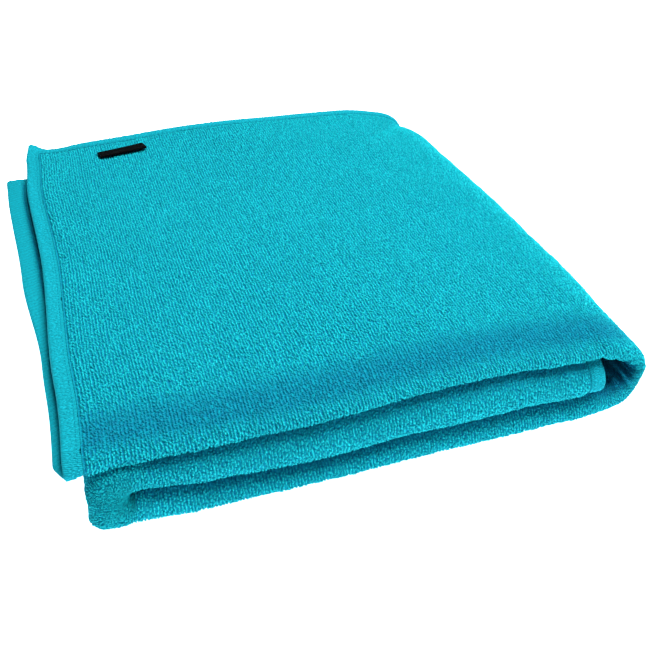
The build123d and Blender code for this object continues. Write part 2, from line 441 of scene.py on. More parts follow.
def tube(path, side, out, radius, sides=6):
    """Points and quads of a tube along each row of path.

    At each path point a ring of points lies at the radius, in the plane of side and out; the
    two ends close in a small cap.
    """
    count = path.shape[0]
    turn = np.arange(sides) * math.tau / sides
    taper = np.ones(count)
    taper[0] = taper[-1] = 0.05
    ring = np.cos(turn)[None, :, None] * side[:, None, :] + np.sin(turn)[None, :, None] * out[:, None, :]
    points = path[:, None, :] + ring * (radius * taper)[:, None, None]
    faces = np.concatenate([grid_faces(count, sides, wrap=True), end_caps(count, sides)])
    return points.reshape(-1, 3), faces


# ---------------------------------------------------------------- materials

class Socket:
    """One output in a material.  Sums, products and powers of it add the Math nodes for them."""

    def __init__(self, shade, link):
        self.shade = shade
        self.link = link

    def maths(self, operation, *values):
        return self.shade.node("ShaderNodeMath", {"operation": operation}, dict(enumerate(values)))

    def __add__(self, other):
        return self.maths("ADD", self, other)

    def __sub__(self, other):
        return self.maths("SUBTRACT", self, other)

    def __rsub__(self, other):
        return self.maths("SUBTRACT", other, self)

    def __mul__(self, other):
        return self.maths("MULTIPLY", self, other)

    def __truediv__(self, other):
        return self.maths("DIVIDE", self, other)

    def __pow__(self, other):
        return self.maths("POWER", self, other)

    def floor(self):
        return self.maths("FLOOR", self)

    def wave(self):
        """Cosine of a value in turns, from 0 to 1."""
        return self.maths("COSINE", self * math.tau) * 0.5 + 0.5

    __radd__ = __add__
    __rmul__ = __mul__


class Shade:
    """A new node material and its principled shader."""

    def __init__(self, name, **constants):
        self.material = bpy.data.materials.new(name)
        self.material.use_nodes = True
        self.tree = self.material.node_tree
        self.shader = self.tree.nodes["Principled BSDF"]
        self.shader.inputs["Sheen Tint"].default_value = opaque(bpy.context.scene.towel_colours.sheen)
        for socket, value in constants.items():
            self.shader.inputs[socket.replace("_", " ")].default_value = value

    def node(self, kind, settings=None, inputs=None, output=0):
        """Adds a node: its type, its settings, then the values or links of its sockets."""
        node = self.tree.nodes.new(kind)
        for key, value in (settings or {}).items():
            if key == "stops":
                first, last = node.color_ramp.elements
                first.position, first.color = value[0]
                last.position, last.color = value[-1]
                for place, colour in value[1:-1]:
                    node.color_ramp.elements.new(place).color = colour
            else:
                setattr(node, key, value)
        for key, value in (inputs or {}).items():
            if isinstance(value, Socket):
                self.tree.links.new(value.link, node.inputs[key])
            else:
                node.inputs[key].default_value = value
        return Socket(self, node.outputs[output])

    def feed(self, socket, value):
        self.tree.links.new(value.link, self.shader.inputs[socket])

    def cloth_coordinates(self):
        """The two cloth coordinates of a piece, in metres."""
        uv = self.node("ShaderNodeUVMap", {"uv_map": "cloth"})
        return (self.node("ShaderNodeSeparateXYZ", None, {0: uv}, "X"),
                self.node("ShaderNodeSeparateXYZ", None, {0: uv}, "Y"))

    def join(self, x, y, z=0.0):
        return self.node("ShaderNodeCombineXYZ", None, {0: x, 1: y, 2: z})

    def noise(self, vector, scale, detail=2.0, roughness=0.5):
        return self.node("ShaderNodeTexNoise", None,
                         {"Vector": vector, "Scale": scale, "Detail": detail, "Roughness": roughness}, "Fac")

    def mix(self, share, one, other):
        """Colour between one and other."""
        return self.node("ShaderNodeMix", {"data_type": "RGBA"}, {0: share, 6: one, 7: other}, 2)

    def bump(self, height, strength, distance, under=None):
        inputs = {"Height": height, "Strength": strength, "Distance": distance}
        if under is not None:
            inputs["Normal"] = under
        return self.node("ShaderNodeBump", None, inputs)


def opaque(colour, factor=1.0):
    return tuple(min(c * factor, 1.0) for c in colour[:3]) + (1.0,)


def terry_material(colours, sizes):
    """Loops in ribs: cells one rib wide along the cloth and one course long across it."""
    shade = Shade("terry_ground", Roughness=0.95, Sheen_Weight=0.15, Sheen_Roughness=0.5,
                  Specular_IOR_Level=0.1)
    u, v = shade.cloth_coordinates()
    flat = shade.join(u, v)
    drift = shade.noise(flat, 160.0, 2.0)
    drift_across = shade.noise(shade.join(v, u, 3.0), 190.0, 2.0)
    rib = u / sizes.rib_pitch + drift * 0.55
    course = v / sizes.course_pitch + drift_across * 1.3
    cells = shade.join(rib, course + (rib.floor() * 0.37))
    loops = shade.node("ShaderNodeTexVoronoi", {"feature": "F1"},
                       {"Vector": cells, "Scale": 1.0, "Randomness": 0.55}, "Distance")
    loop_height = 1 - loops * 1.25
    ribs = rib.wave()
    fuzz = shade.noise(flat, 1500.0, 3.0, 0.7)
    clumps = shade.noise(flat, 300.0, 2.0)
    height = loop_height * 0.55 + ribs * 0.28 + fuzz * 0.35 + clumps * 0.3
    # Painted shade: the colour darkens towards the gap colour where the loops' height is low, in the hollows
    # between them.
    tone = shade.node("ShaderNodeMapRange", {"clamp": True}, {0: height, 1: 0.3, 2: 1.15, 3: 0.0, 4: 1.0})
    shade.feed("Base Color", shade.mix(tone, opaque(colours.gap), opaque(colours.pile, 0.93)))
    shade.feed("Normal", shade.bump(height, 1.0, 1.3 * MM))
    return shade.material


def loop_material(colours):
    """Terry loops: painted shade at the foot, where the loops shade each other, lighter at the top, each
    loop a little different.
    """
    return loops_shade("terry_loops", opaque(colours.gap), opaque(colours.pile, 0.66), opaque(colours.tip))


def hem_loop_material(colours):
    """Pressed loops of a hem: the same yarn with less depth between the loops, so weaker painted shade at
    their foot.
    """
    foot, dull, bright = (opaque(colours.hem, factor) for factor in (0.7, 0.9, 1.45))
    return loops_shade("hem_loops", foot, dull, bright)


def loops_shade(name, foot, dull, bright):
    shade = Shade(name, Roughness=0.9, Sheen_Weight=0.4, Sheen_Roughness=0.3, Specular_IOR_Level=0.15)
    u, v = shade.cloth_coordinates()
    tip = shade.node("ShaderNodeAttribute", {"attribute_name": "tip"}, None, "Fac")
    own = shade.node("ShaderNodeAttribute", {"attribute_name": "tone"}, None, "Fac")
    yarn = shade.noise(shade.join(u, v), 2200.0, 3.0, 0.7)
    patches = shade.noise(shade.join(u, v), 30.0, 3.0)
    light = shade.mix(own * 0.65 + yarn * 0.35, dull, bright)
    # Painted shade: the attribute darkens the loops behind the front fold and in the grooves, both towards
    # the dull colour and towards the foot colour; worn mixes random patches with this painted shade, and the
    # foot colour is painted shade low between the loops.
    parted = shade.node("ShaderNodeAttribute", {"attribute_name": "parted"}, None, "Fac")
    worn = shade.mix(patches * 0.4 + parted * 0.6, light, dull)
    shade.feed("Base Color", shade.mix(tip ** 0.8 * (1 - parted * 0.78), foot, worn))
    shade.feed("Normal", shade.bump(yarn, 0.6, 0.35 * MM))
    return shade.material


def hem_material(colours):
    """Pressed edge: close threads slanting across the hem, with painted shade where the threads and knots
    sink.
    """
    shade = Shade("hem_cloth", Roughness=0.85, Sheen_Weight=0.25, Sheen_Roughness=0.4,
                  Specular_IOR_Level=0.08)
    u, v = shade.cloth_coordinates()
    flat = shade.join(u, v)
    drift = shade.noise(flat, 220.0, 2.0)
    threads = (u / (1.05 * MM) + v * (0.35 / (1.05 * MM)) + drift * 1.1).wave()
    knots = shade.noise(shade.join(u * 1.6, v), 900.0, 2.0, 0.6)
    height = threads * 0.35 + knots * 0.75
    # Painted shade: the colour darkens where the height of the threads and knots is low.
    tone = shade.node("ShaderNodeMapRange", {"clamp": True}, {0: height, 1: 0.3, 2: 0.85, 3: 0.0, 4: 1.0})
    shade.feed("Base Color", shade.mix(tone, opaque(colours.hem, 0.55), opaque(colours.hem, 1.2)))
    shade.feed("Normal", shade.bump(height, 0.8, 0.6 * MM))
    return shade.material


def thread_material(name, colour):
    """Twisted sewing thread."""
    shade = Shade(name, Roughness=0.9, Sheen_Weight=0.1, Specular_IOR_Level=0.05)
    u, v = shade.cloth_coordinates()
    twist = (u / (0.9 * MM) + v * 1.0).wave()
    shade.feed("Base Color", shade.mix(twist, opaque(colour, 0.75), opaque(colour, 1.25)))
    shade.feed("Normal", shade.bump(twist, 0.5, 0.1 * MM))
    return shade.material


def label_material(colours):
    """Black woven ribbon: fine warp and weft."""
    shade = Shade("label_ribbon", Roughness=0.85, Specular_IOR_Level=0.05)
    u, v = shade.cloth_coordinates()
    warp = (u / (0.55 * MM)).wave()
    weft = (v / (0.4 * MM)).wave()
    weave = warp * 0.5 + weft * 0.5
    worn = shade.noise(shade.join(u, v), 900.0, 2.0)
    dark, light = opaque(colours.label, 0.4), opaque(colours.label, 1.8)
    shade.feed("Base Color", shade.mix(weave * 0.6 + worn * 0.3, dark, light))
    shade.feed("Normal", shade.bump(weave, 0.4, 0.12 * MM))
    return shade.material


def floor_material(colour):
    """Pale paper sweep, lit a little from below."""
    shade = Shade("studio_floor", Roughness=0.9, Emission_Strength=2.1)
    paper = shade.noise(shade.node("ShaderNodeTexCoord", None, None, "Object"), 40.0, 3.0)
    sheet = shade.mix(paper, opaque(colour, 0.99), opaque(colour, 1.0))
    shade.feed("Base Color", sheet)
    shade.feed("Emission Color", shade.mix(paper, opaque((0.72, 0.90, 1.0)), opaque((0.74, 0.92, 1.0))))
    return shade.material


# ---------------------------------------------------------------- sizes and colours a user may change

def length(label, note, size):
    return FloatProperty(name=label, description=note, default=size, unit="LENGTH")


def colour(label, note, value):
    return FloatVectorProperty(name=label, description=note, subtype="COLOR", size=3, default=value)


def angle(label, note, degrees):
    return FloatProperty(name=label, description=note, default=math.radians(degrees), unit="ROTATION")


class TowelSizes(bpy.types.PropertyGroup):
    """Sizes of the cloth and its sewing."""

    cloth_thickness: length("Cloth thickness", "Terry with its pile", 5.0 * MM)
    hem_thickness: length("Hem thickness", "Flattened edge", 3.2 * MM)
    hem_width: length("Hem width", "Edge to seam", float(TOP_END[1][0] - TOP_END[0][0]))
    rib_pitch: length("Rib pitch", "From one rib of loops to the next", 1.75 * MM)
    course_pitch: length("Course pitch", "From one loop of a rib to the next", 1.25 * MM)
    pile_height: length("Pile height", "How far the loops stand out of the cloth", 0.8 * MM)
    pleat_depth: length("Pleat depth", "Puckers inside the right fold", 2.4 * MM)
    roll_bottom: length("Bottom roll", "How far the bottom front roll is rounded back", 10 * MM)
    roll_middle: length("Middle roll", "How far the middle front roll is rounded back", 12 * MM)
    roll_top: length("Top roll", "How far the top front roll is rounded back", 28 * MM)
    roll_right: length("Right roll", "How far the right fold's front is rounded back", 7 * MM)
    right_wall: length("Right fold wall", "Double cloth at the right fold's outermost line", 9 * MM)
    stitch_length: length("Stitch length", "Seam stitches", 3.0 * MM)
    thread_radius: length("Thread radius", "Seam thread", 0.21 * MM)
    seam_gap: length("Seam gap", "Between the two rows of stitches", 2.0 * MM)
    label_width: length("Label width", "Along the sewn edge", 36 * MM)
    label_length: length("Label length", "From the sewn edge to the free one", 11 * MM)
    cell: length("Mesh cell", "Spacing of the cloth's mesh", 2.5 * MM)
    split: length("Split", "Where the cloth of the cover meets the cloth of the bundle", 0.085)


class TowelColours(bpy.types.PropertyGroup):
    """Colours, as linear red, green and blue."""

    pile: colour("Pile", "Terry loops", (0.0015, 0.50, 0.58))
    tip: colour("Tips", "The lightest loops", (0.010, 0.76, 0.81))
    # Painted shade: the dark, bluish gap colour stands for the shade low between the loops.
    gap: colour("Gaps", "Ground between the loops", (0.001, 0.13, 0.28))
    sheen: colour("Sheen", "Light caught by fibre ends", (0.015, 0.8, 0.9))
    hem: colour("Hem", "Hemmed edge", (0.004, 0.37, 0.46))
    thread: colour("Thread", "Hem seams", (0.003, 0.22, 0.30))
    label: colour("Label", "Label ribbon", (0.0006, 0.0009, 0.0012))
    floor: colour("Floor", "Studio floor", (0.92, 0.92, 0.92))


class TowelStage(bpy.types.PropertyGroup):
    """Camera and light."""

    camera: FloatVectorProperty(
        name="Camera", description="Camera position", subtype="XYZ", size=3, unit="LENGTH",
        default=(-0.1298, -0.4646, 0.3443))
    azimuth: angle("Azimuth", "Camera's turn about Z", -19.18)
    pitch: angle("Pitch", "Camera's tilt down", 37.28)
    roll: angle("Roll", "Camera's roll", 0.87)
    lens: FloatProperty(
        name="Lens", description="Focal length in millimetres on a 36 mm sensor", default=47.92)
    key: FloatProperty(name="Key light", description="Power of the softbox", default=22.0, unit="POWER")


# ---------------------------------------------------------------- cloth pieces

def cloth_rows(strip, s_from, s_to, cell):
    """Distances s for the rows of a piece, evenly spaced along the outside of the cloth."""
    low, high = strip.girth(s_from), strip.girth(s_to)
    return strip.at_girth(np.linspace(low, high, int((high - low) / cell) + 2))


def cloth_columns(cell):
    """Stations 0 to 3 across the cloth: outer layer, front roll, inner layer; closer at the roll."""
    outer = 1 - np.linspace(1, 0, int((Y_BACK - Y_FRONT) / cell) + 1) ** 1.15
    inner = 2 + np.linspace(0, 1, int((Y_INNER - Y_FRONT) / (cell * 1.25)) + 1) ** 1.15
    roll = np.linspace(1, 2, 22)
    return np.concatenate([outer, roll[1:-1], inner])


def station_to_v(strip, s, station, hem):
    """v at each station, from just inside the outer side hem to just inside the inner one."""
    half = strip.half_roll(s)
    outer, inner = strip.edge(s, True) - hem, strip.edge(s, False) + hem
    v = np.where(station < 1, outer + (half - outer) * station, half * (3 - 2 * station))
    return np.where(station > 2, -half + (inner + half) * (station - 2), v)


def pile_relief(s, v):
    """Small uneven lie of the pile, in metres."""
    return 0.16 * MM * ripples(s, v, 0.0085, 31) + 0.22 * MM * ripples(s, v, 0.021, 32)


def skin_depths(strip, s, v, sizes):
    """Depths of the ground that the loops stand on and of the lining: closer together in a hem."""
    to_side = np.minimum(strip.edge(s, True) - v, v - strip.edge(s, False))
    inside = np.minimum(to_side, np.minimum(s, strip.length - s))
    body = ease(sizes.hem_width - 0.5 * MM, sizes.hem_width + 4.5 * MM, inside)
    middle, thin = sizes.cloth_thickness / 2, (sizes.hem_thickness - 1.0 * MM) / 2
    ground = middle - thin + (sizes.pile_height * 0.8 - middle + thin) * body
    lining = middle + thin + (sizes.cloth_thickness - middle - thin) * body
    return ground - pile_relief(s, v), lining


def cloth_piece(name, strip, sizes, material, s_from, s_to, cell):
    """Closed sheet: the face and the lining of the cloth, joined round its rim.

    Both skins are the strip's map, at the depths that skin_depths gives.
    """
    s = cloth_rows(strip, s_from, s_to, cell)[:, None]
    station = cloth_columns(cell)[None, :]
    hem_inside = sizes.hem_width - 1.5 * MM
    v = station_to_v(strip, s, station, hem_inside)
    s = np.broadcast_to(s, v.shape)
    ground, back = skin_depths(strip, s, v, sizes)
    face = strip.place(s, v, ground)
    lining = strip.place(s, v, back)
    rows, columns = v.shape
    points = np.concatenate([face.reshape(-1, 3), lining.reshape(-1, 3)])
    skin = grid_faces(rows, columns)
    count = rows * columns
    rim = np.concatenate([
        np.arange(columns), np.arange(1, rows) * columns + columns - 1,
        (rows - 1) * columns + np.arange(columns - 2, -1, -1), np.arange(rows - 2, 0, -1) * columns])
    following = np.roll(rim, -1)
    wall = np.stack([rim, rim + count, following + count, following], -1)
    faces = np.concatenate([skin, skin[:, ::-1] + count, wall])
    uv = np.stack([strip.girth(s), v], -1).reshape(-1, 2)
    square = (uv - uv.min(0)) / np.ptp(uv, axis=0) * [0.49, 1]
    bake_map = np.concatenate([square, [1, 0] + square * [-1, 1]])
    return new_piece(name, points, faces, material, np.concatenate([uv, uv]), bake_map)


def loops_piece(name, place, material, centres, length, height, seed, parted=None):
    """Terry loops: small closed blocks, rounded by their shading, that stand on the cloth.

    Each loop is a lower ring of four points, sunk a little into the cloth, and a narrower upper
    ring at the loop's height, turned, leant and sized at random about its centre.  place turns two
    coordinates along the cloth and a height into space.
    """
    rng = np.random.default_rng(seed)
    count = len(centres)
    sunk = 0.35 * MM
    turn = rng.normal(0, 0.32, count)[:, None]
    lean = rng.normal(0, 0.25, (2, count, 1)) * height
    tall = height * rng.uniform(0.65, 1.25, count)[:, None]
    size = rng.uniform(0.8, 1.15, count)[:, None] / 2
    corner_a = np.array([-1, 1, 1, -1, -0.4, 0.4, 0.4, -0.4])[None, :] * length[0] * size
    corner_b = np.array([-1, -1, 1, 1, -0.6, -0.6, 0.6, 0.6])[None, :] * length[1] * size
    upper = np.array([0, 0, 0, 0, 1, 1, 1, 1.0])[None, :]
    a = centres[:, :1] + corner_a * np.cos(turn) - corner_b * np.sin(turn) + lean[0] * upper
    b = centres[:, 1:] + corner_a * np.sin(turn) + corner_b * np.cos(turn) + lean[1] * upper
    points = place(a, b, tall * upper - sunk * (1 - upper))
    block = np.array([[0, 1, 5, 4], [1, 2, 6, 5], [2, 3, 7, 6], [3, 0, 4, 7], [4, 5, 6, 7], [3, 2, 1, 0]])
    faces = (np.arange(count)[:, None, None] * 8 + block[None]).reshape(-1, 4)
    uv = np.stack([a, b], -1).reshape(-1, 2)
    square = (uv - uv.min(0)) / np.ptp(uv, axis=0)
    # Each loop's painted shade: darker behind the front fold and in the grooves between the rolls.
    bend = np.zeros(count) if parted is None else parted(centres[:, 0], centres[:, 1])
    extra = {"tip": np.tile(upper[0], count), "tone": np.repeat(rng.uniform(0, 1, count), 8),
             "parted": np.repeat(bend, 8)}
    return new_piece(name, points, faces, material, uv, square, extra)


def scattered(firsts, lasts, pitches, jitter, seed):
    """Centres in rows: a pitch apart each way, every other row half a pitch along, a little uneven."""
    rng = np.random.default_rng(seed)
    row = np.arange(firsts[0] + pitches[0] / 2, lasts[0], pitches[0])
    step = np.arange(firsts[1] + pitches[1] / 2, lasts[1], pitches[1])
    a, b = (grid.ravel() for grid in np.meshgrid(row, step, indexing="ij"))
    b = b + pitches[1] / 2 * (np.arange(len(row)) % 2).repeat(len(step))
    uneven = rng.normal(0, jitter, (len(a), 2)) * np.array(pitches)
    return np.stack([a, b], -1) + uneven


def pile_piece(name, strip, sizes, material, girths, widths, seed, keep=None):
    """Terry loops in ribs along the cloth: centres by girth and by distance across the cloth."""
    centres = scattered((girths[0], widths[0]), (girths[1], widths[1]),
                        (sizes.rib_pitch, sizes.course_pitch), 0.16, seed)
    s, v = strip.at_girth(centres[:, 0]), centres[:, 1]
    clear = sizes.hem_width + 0.9 * MM
    inside = (v < strip.edge(s, True) - clear) & (v > strip.edge(s, False) + clear)
    inside &= (s > clear) & (s < strip.length - clear)
    if keep is not None:
        inside &= keep(s, v)

    def place(girth, v, lift):
        s = strip.at_girth(girth)
        return strip.place(s, v, skin_depths(strip, s, v, sizes)[0] - lift)

    size = (sizes.rib_pitch * 0.66, sizes.course_pitch * 1.12)
    # The last argument gives each loop its painted shade, behind the front fold and in the grooves.
    return loops_piece(name, place, material, centres[inside], size, sizes.pile_height, seed,
                       lambda girth, v: strip.parted(strip.at_girth(girth), v))


def hem_pile(name, strip, sizes, material, along, outside, seed):
    """Pressed loops on a hem's face: long, low ones that lie across the hem."""
    first, last = (along[0], 0.9 * MM), (along[1], sizes.hem_width - 3.2 * MM)
    centres = scattered(first, last, (1.25 * MM, 1.9 * MM), 0.2, seed)
    lip = 1.6 * MM
    surface = sizes.cloth_thickness / 2 - sizes.hem_thickness / 2

    def place(run, across, lift):
        onto = across / lip
        rim = (sizes.hem_thickness / 2) * (1 - np.sqrt(np.clip(onto * (2 - onto), 0, 1)))
        s, v = outside(run, across)
        rim = np.where(across > lip, 0, rim)
        return strip.place(s, v, surface + rim + 0.12 * MM - lift)

    return loops_piece(name, place, material, centres, (0.95 * MM, 2.1 * MM), 0.42 * MM, seed)


def hem_section(sizes, samples=9):
    """Rounded section of a hem: distance from the cloth's edge, and offset from its middle plane."""
    half, width = sizes.hem_thickness / 2, sizes.hem_width
    flat = np.linspace(width, half, samples)
    turn = np.radians(np.linspace(90, -90, 10))[1:-1]
    lip = np.array([width + 0.4 * MM])
    across = np.concatenate([lip, flat, half - half * np.cos(turn), flat[::-1], lip])
    pinch = half - 0.55 * MM * ease(2.0 * MM, 0.0, width - flat)
    sunk = np.array([half - 1.1 * MM])
    offset = np.concatenate([sunk, pinch, half * np.sin(turn), -pinch[::-1], -sunk])
    return across, offset


def hem_piece(name, strip, sizes, material, along, outside, rounded=(True, True)):
    """Hem bar: its section carried along the cloth's edge, with the fine ribs of pressed terry.

    along is the distance along the edge; outside turns (along, across) into the strip's s and v.
    """
    across, offset = hem_section(sizes)
    run = along[:, None]
    s, v = outside(run, across[None, :])
    slant = across[None, :] * 0.35
    ribs = np.sin(math.tau * (run + slant) / (1.6 * MM) + 0.9 * np.sin(run / (4 * MM)))
    lumps = ripples(run, across[None, :] * 2, 0.004, 41)
    swell = offset[None, :] + np.sign(offset)[None, :] * (0.11 * MM * ribs + 0.12 * MM * lumps)
    ends = np.where((run == along[0]) & rounded[0] | (run == along[-1]) & rounded[1], 0.35, 1.0)
    points = strip.place(s, v, sizes.cloth_thickness / 2 - swell * ends)
    rows, columns = len(along), len(across)
    faces = np.concatenate([grid_faces(rows, columns, wrap=True), end_caps(rows, columns)])
    below = (offset[None, :] < 0) * sizes.hem_width * 2
    uv = np.stack(np.broadcast_arrays(run, across[None, :] + below), -1)
    return new_piece(name, points, faces, material, uv)


def end_caps(rows, columns):
    """Quads that close both ends of a lofted bar, pairing each point with the one across from it."""
    i = np.arange(columns // 2 - 1)
    first = np.stack([i, columns - 1 - i, columns - 2 - i, i + 1], -1)
    return np.concatenate([first, (rows - 1) * columns + first[:, ::-1]])


def side_hem(strip, outer):
    """Edge map of a side hem: along is s, and across goes in from the side edge."""
    def outside(along, across):
        edge = strip.edge(along, outer)
        return np.broadcast_arrays(along, edge - across if outer else edge + across)
    return outside


def end_hem(strip, far_end):
    """Edge map of a hem across the strip's end: along is v, and across goes in from the end."""
    def outside(along, across):
        s = strip.length - across if far_end else across
        return np.broadcast_arrays(s, along)
    return outside


def seam_piece(name, strip, sizes, material, along, outside, insets):
    """Rows of lockstitch: a thread that rises over the cloth's face and dips in once per stitch."""
    per_stitch = 6
    count = int((along[1] - along[0]) / sizes.stitch_length) * per_stitch
    run = np.linspace(along[0], along[1], count + 1)
    rows, uvs, quads = [], [], []
    for row, inset in enumerate(insets):
        dip = np.clip(np.cos(math.tau * (run / sizes.stitch_length + row * 0.3)), 0.25, 1)
        s, v = outside(run, np.full_like(run, inset))
        surface = sizes.cloth_thickness / 2 - sizes.hem_thickness / 2
        path = strip.place(s, v, surface - 0.24 * MM + 0.75 * MM * dip)
        out = strip.normal(s, v)
        side = np.cross(out, np.gradient(path, axis=0))
        side /= np.maximum(np.linalg.norm(side, axis=1, keepdims=True), 1e-9)
        points, faces = tube(path, side, out, sizes.thread_radius)
        quads.append(faces + row * len(points))
        rows.append(points)
        uvs.append(np.stack(np.broadcast_arrays(run[:, None], np.arange(6)[None, :] / 6), -1).reshape(-1, 2))
    return new_piece(name, np.concatenate(rows), np.concatenate(quads), material, np.concatenate(uvs))


def cover_blend(piece):
    """Bakes the piece's placement into its mesh; the band about the hinge, from low to high, is worked out
    but not used.
    """
    reach = 7 * MM
    low, high = HINGE[2] - reach, HINGE[2] + reach
    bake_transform(piece)


def towel():
    return bpy.context.scene.towel_sizes, bpy.context.scene.towel_colours


def material_once(name, make):
    return bpy.data.materials.get(name) or make()


def meeting_place(strip, sizes):
    """s where the cover's cloth meets the bundle's, on the straight run of the bottom panel."""
    return strip.s_bottom_end - (X_RIGHT - sizes.split)


class TOWEL_OT_cloth(bpy.types.Operator):
    """Makes the terry cloth in two pieces: the bundle that lies still and the cover, which runs on from it
    to the free end
    """

    bl_idname = "towel.cloth"
    bl_label = "Cloth"

    def execute(self, context):
        sizes, colours = towel()
        strip = Strip(sizes)
        terry = material_once("terry_ground", lambda: terry_material(colours, sizes))
        inside = sizes.hem_width - 1.5 * MM
        meet = meeting_place(strip, sizes)
        bundle = cloth_piece("towel_bundle", strip, sizes, terry, inside, meet, sizes.cell * 1.15)
        cover = cloth_piece("towel_cover", strip, sizes, terry, meet, strip.length - inside, sizes.cell)
        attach(bundle, "root")
        cover_blend(cover)
        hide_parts("bottom_panel", "left_fold", "middle_panel")
        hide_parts("right_fold_lower", "right_fold_upper", "top_panel")
        return {"FINISHED"}


class TOWEL_OT_pile(bpy.types.Operator):
    """Makes the terry loops on every side of the folded towel that shows"""

    bl_idname = "towel.pile"
    bl_label = "Pile"

    def execute(self, context):
        sizes, colours = towel()
        strip = Strip(sizes)
        loops = material_once("terry_loops", lambda: loop_material(colours))
        meet = meeting_place(strip, sizes)
        below, back = -12 * MM, float(strip.edge(strip.length, True))
        fold = strip.girth(strip.s_fold_end + 14 * MM)
        end = strip.girth(strip.length)
        turn = strip.girth((strip.s_bottom_end + strip.s_fold_end) / 2)
        bounds = np.array([strip.girth(meet), turn, fold, *(fold + (end - fold) * np.arange(1, 6) / 5)])
        pair = 2 * sizes.rib_pitch
        bounds = bounds[0] + np.round((bounds - bounds[0]) / pair) * pair

        def in_fold(s, v):
            deep = ease(strip.s_bottom_end - 30 * MM, strip.s_bottom_end, s)
            return (v > below - 45 * MM * deep) & ((s > strip.s_bottom_end - 12 * MM) | (v < 30 * MM))

        words = ("fold_lower", "fold_upper", "right", "middle_right", "middle", "middle_left", "left")
        for order, (low, high, word) in enumerate(zip(bounds[:-1], bounds[1:], words)):
            folded = word.startswith("fold")
            reach = -60 * MM if folded else below
            piece = pile_piece(f"cover_pile_{word}", strip, sizes, loops, (low, high), (reach, back),
                               61 + order, in_fold if folded else None)
            cover_blend(piece)
        fold_start, fold_stop = strip.s_left_fold[0] - 6 * MM, strip.s_left_fold[1] + 12 * MM
        ends = strip.girth(np.array([0.0, fold_start, fold_stop, meet]))
        words = ("middle", "left_fold", "bottom")
        for order, (low, high, word) in enumerate(zip(ends[:-1], ends[1:], words)):
            reach = back if word == "left_fold" else 30 * MM
            piece = pile_piece(f"bundle_pile_{word}", strip, sizes, loops, (low, high), (below, reach),
                               71 + order)
            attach(piece, "root")
        return {"FINISHED"}


class TOWEL_OT_hems(bpy.types.Operator):
    """Makes the hems along the cloth's side edges and across its two ends"""

    bl_idname = "towel.hems"
    bl_label = "Hems"

    def execute(self, context):
        sizes, colours = towel()
        strip = Strip(sizes)
        cloth = material_once("hem_cloth", lambda: hem_material(colours))
        loops = material_once("hem_loops", lambda: hem_loop_material(colours))
        meet = meeting_place(strip, sizes)
        step = 0.55 * MM
        for outer, word in ((True, "outer"), (False, "inner")):
            rows = np.arange(0, meet, step)
            edge_map = side_hem(strip, outer)
            bundle = hem_piece(f"bundle_side_hem_{word}", strip, sizes, cloth, np.append(rows, meet),
                               edge_map, (True, False))
            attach(bundle, "root")
            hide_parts(f"bottom_side_hem_{word}", f"middle_side_hem_{word}")
            rows = np.append(np.arange(meet, strip.length, step), strip.length)
            cover = hem_piece(f"cover_side_hem_{word}", strip, sizes, cloth, rows, edge_map, (False, True))
            cover_blend(cover)
            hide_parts(f"top_side_hem_{word}")
            span = (2 * MM, meet)
            grains = hem_pile(f"bundle_side_hem_pile_{word}", strip, sizes, loops, span, edge_map, 71)
            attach(grains, "root")
            span = (meet, strip.length - 1 * MM)
            cover_grains = hem_pile(f"cover_side_hem_pile_{word}", strip, sizes, loops, span, edge_map, 72)
            cover_blend(cover_grains)
        for far, name, body, nodes in (
                (False, "bundle_end_hem", "root", ("middle_end_hem_outer", "middle_end_hem_inner")),
                (True, "cover_end_hem", "flap", ("top_end_hem_outer", "top_end_hem_inner"))):
            end = strip.length if far else 0.0
            span = float(strip.edge(end, False)), float(strip.edge(end, True))
            piece = hem_piece(name, strip, sizes, cloth, np.arange(*span, step), end_hem(strip, far))
            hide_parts(*nodes)
            grains = hem_pile(f"{name}_pile", strip, sizes, loops, span, end_hem(strip, far), 73)
            for part in (piece, grains):
                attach(part, body)
        return {"FINISHED"}


class TOWEL_OT_seams(bpy.types.Operator):
    """Makes the sewing thread beside every hem"""

    bl_idname = "towel.seams"
    bl_label = "Seams"

    def execute(self, context):
        sizes, colours = towel()
        strip = Strip(sizes)
        thread = material_once("seam_thread", lambda: thread_material("seam_thread", colours.thread))
        meet = meeting_place(strip, sizes)
        inset = sizes.hem_width - 0.6 * MM
        insets = (inset, inset - sizes.seam_gap)
        for outer, word in ((True, "outer"), (False, "inner")):
            edge_map = side_hem(strip, outer)
            span = (inset, meet)
            bundle = seam_piece(f"bundle_side_seam_{word}", strip, sizes, thread, span, edge_map, insets)
            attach(bundle, "root")
            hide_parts(f"bottom_side_seam_{word}", f"middle_side_seam_{word}")
            span = (meet, strip.length - inset)
            cover = seam_piece(f"cover_side_seam_{word}", strip, sizes, thread, span, edge_map, insets)
            cover_blend(cover)
            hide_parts(f"top_side_seam_{word}")
        for far, name, body, nodes in (
                (False, "bundle_end_seam", "root", ("middle_end_seam",)),
                (True, "cover_end_seam", "flap", ("top_end_seam_outer", "top_end_seam_inner"))):
            end = strip.length if far else 0.0
            span = (float(strip.edge(end, False)) + inset, float(strip.edge(end, True)) - inset)
            piece = seam_piece(name, strip, sizes, thread, span, end_hem(strip, far), insets)
            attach(piece, body)
            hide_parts(*nodes)
        return {"FINISHED"}


def label_place(strip, aside, reach, lift):
    """Places a point of the label: aside along its sewn edge, reach towards its free edge, lift up."""
    x = SEWN_EDGE[0] + aside * SEWN_ALONG[0] + reach * SEWN_ALONG[1]
    y = SEWN_EDGE[1] + aside * SEWN_ALONG[1] - reach * SEWN_ALONG[0]
    s = strip.s_fold_end + X_RIGHT - x
    return strip.place(s, strip.edge(s, True) - (Y_BACK - y), -lift)


